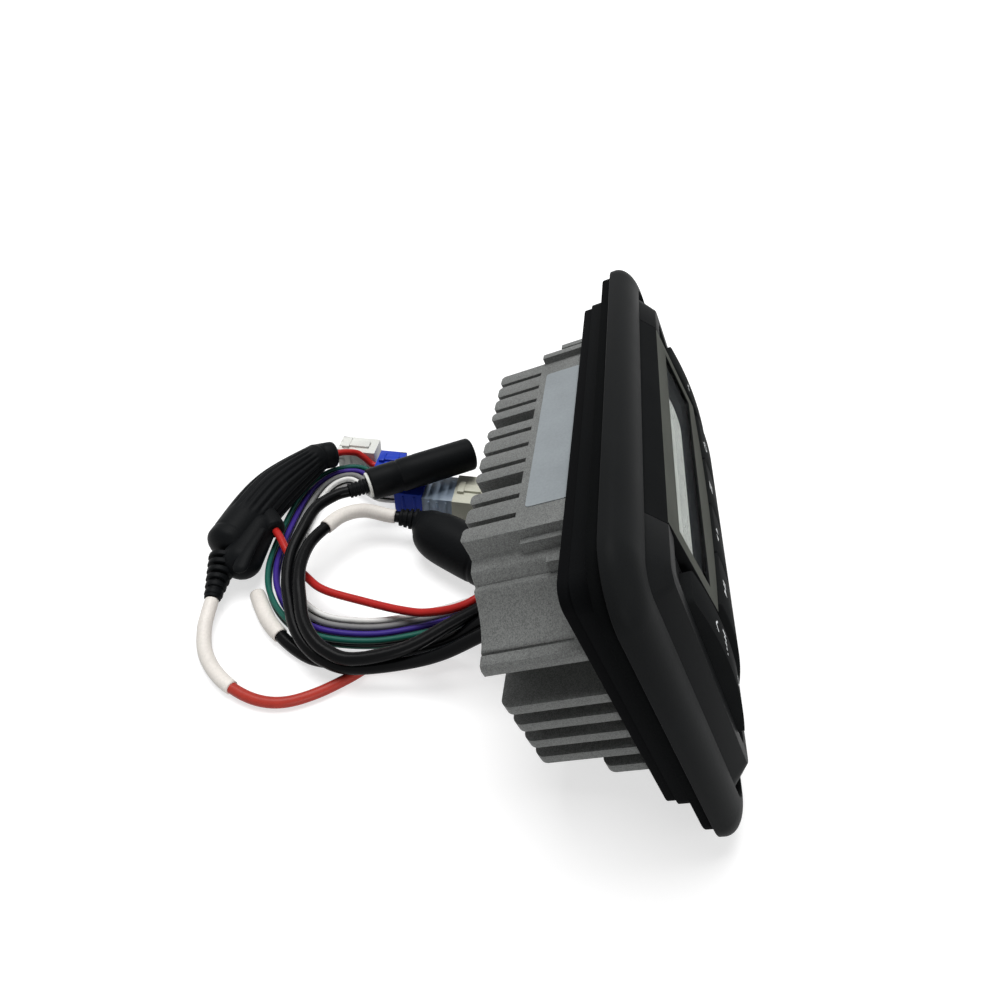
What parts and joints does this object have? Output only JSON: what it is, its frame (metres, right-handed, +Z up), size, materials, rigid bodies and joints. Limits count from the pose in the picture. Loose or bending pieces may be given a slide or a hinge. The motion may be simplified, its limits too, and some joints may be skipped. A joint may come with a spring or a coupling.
{
  "type": "panel-mount stereo head unit",
  "caption": "Rectangular flush-mount stereo head unit with a rounded trim ring, display pod, press keys and side rockers, a finned die-cast chassis behind and a wiring loom with connectors.",
  "frame": {"origin": "on the surface it leans on, at the centre of the box of the unit without its loom", "axes": "+X to the right of a person facing the display, +Y from the face back to the loom, +Z up; the face leans back"},
  "size_m": [0.1659, 0.1942, 0.1027],
  "materials": {
    "trim_plastic": "satin moulded charcoal plastic",
    "gasket_foam": "closed-cell black foam",
    "housing_plastic": "moulded dark grey plastic",
    "face_plastic": "satin moulded charcoal plastic",
    "pod_plastic": "satin moulded grey plastic",
    "lens_clear": "clear window",
    "lcd": "pale grey liquid-crystal panel",
    "light_guide": "white light guide",
    "key_plastic": "satin moulded keys",
    "circuit_board": "green soldermask",
    "black_plastic": "black moulded plastic",
    "cream_plastic": "natural nylon",
    "ribbon": "flat flexible ribbon",
    "steel": "plated steel",
    "capacitor_sleeve": "dark blue sleeve",
    "seal_rubber": "black rubber",
    "die_cast": "bead-blasted die casting",
    "label_film": "blank pale film",
    "black_sheath": "black cable sheath",
    "moulded_black": "over-moulded black plastic",
    "white_plastic": "white nylon",
    "white_sleeve": "off-white heat-shrink sleeve",
    "red_wire": "red insulation",
    "orange_wire": "orange-red insulation",
    "white_wire": "white insulation",
    "white_black_wire": "white insulation with a dark tracer",
    "grey_wire": "grey insulation",
    "grey_black_wire": "grey insulation with a dark tracer",
    "purple_wire": "violet insulation",
    "purple_black_wire": "violet insulation with a dark tracer",
    "green_wire": "green insulation",
    "green_black_wire": "green insulation with a dark tracer",
    "blue_plastic": "blue nylon",
    "clear_plastic": "translucent connector shell"
  },
  "bodies": {
    "root": {"trim_ring": "trim_plastic", "wall_gasket": "gasket_foam", "front_housing": "housing_plastic", "face_panel": "face_plastic", "display_pod": "pod_plastic", "display_lens": "lens_clear", "lcd_glass": "lcd", "lcd_backlight": "light_guide", "front_board": "circuit_board", "tact_switches": "black_plastic", "front_socket": "cream_plastic", "ribbon_cable": "ribbon", "main_socket": "cream_plastic", "main_board": "circuit_board", "board_screws": "steel", "amplifier_chip": "black_plastic", "chip_clamp": "steel", "filter_capacitors": "capacitor_sleeve", "tuner_can": "steel", "loom_header": "cream_plastic", "chassis_seal": "seal_rubber", "chassis": "die_cast", "chassis_screws": "steel", "blank_label": "label_film", "loom_grommet": "seal_rubber", "aerial_cable": "black_sheath", "aerial_socket": "moulded_black", "aerial_ring": "white_plastic", "remote_cable": "black_sheath", "remote_sleeve": "white_sleeve", "remote_plug": "moulded_black", "aux_cable": "black_sheath", "aux_sleeve": "white_sleeve", "power_wire": "red_wire", "supply_lead": "orange_wire", "supply_sleeve": "white_sleeve", "fuse_tail": "red_wire", "fuse_holder": "moulded_black", "wire_white": "white_wire", "wire_white_black": "white_black_wire", "wire_grey": "grey_wire", "wire_grey_black": "grey_black_wire", "wire_purple": "purple_wire", "wire_purple_black": "purple_black_wire", "wire_green": "green_wire", "wire_green_black": "green_black_wire", "blue_connector": "blue_plastic", "clear_connector": "clear_plastic", "cream_connector": "cream_plastic", "white_connector": "white_plastic", "blue_adapter": "blue_plastic"},
    "source_button": {"source_button": "key_plastic"},
    "band_button": {"band_button": "key_plastic"},
    "menu_button": {"menu_button": "key_plastic"},
    "power_button": {"power_button": "key_plastic"},
    "volume_rocker": {"volume_rocker": "key_plastic"},
    "track_rocker": {"track_rocker": "key_plastic"}
  },
  "joints": [
    {"name": "source_press", "type": "slide", "parent": "root", "child": "source_button", "axis": [0, 0.9086, -0.4177], "range_m": [0, 0.0007], "stiffness_N_per_m": 2500},
    {"name": "band_press", "type": "slide", "parent": "root", "child": "band_button", "axis": [0, 0.9086, -0.4177], "range_m": [0, 0.0007], "stiffness_N_per_m": 2500},
    {"name": "menu_press", "type": "slide", "parent": "root", "child": "menu_button", "axis": [0, 0.9086, -0.4177], "range_m": [0, 0.0007], "stiffness_N_per_m": 2500},
    {"name": "power_press", "type": "slide", "parent": "root", "child": "power_button", "axis": [0, 0.9086, -0.4177], "range_m": [0, 0.0007], "stiffness_N_per_m": 2500},
    {"name": "volume_rock", "type": "hinge", "parent": "root", "child": "volume_rocker", "pos_m": [-0.0563, -0.02254, 0.05215], "axis": [1, 0, 0], "range_deg": [-2.4, 2.4], "stiffness_Nm_per_rad": 0.6},
    {"name": "track_rock", "type": "hinge", "parent": "root", "child": "track_rocker", "pos_m": [0.0563, -0.02254, 0.05215], "axis": [1, 0, 0], "range_deg": [-2.4, 2.4], "stiffness_Nm_per_rad": 0.6}
  ]
}
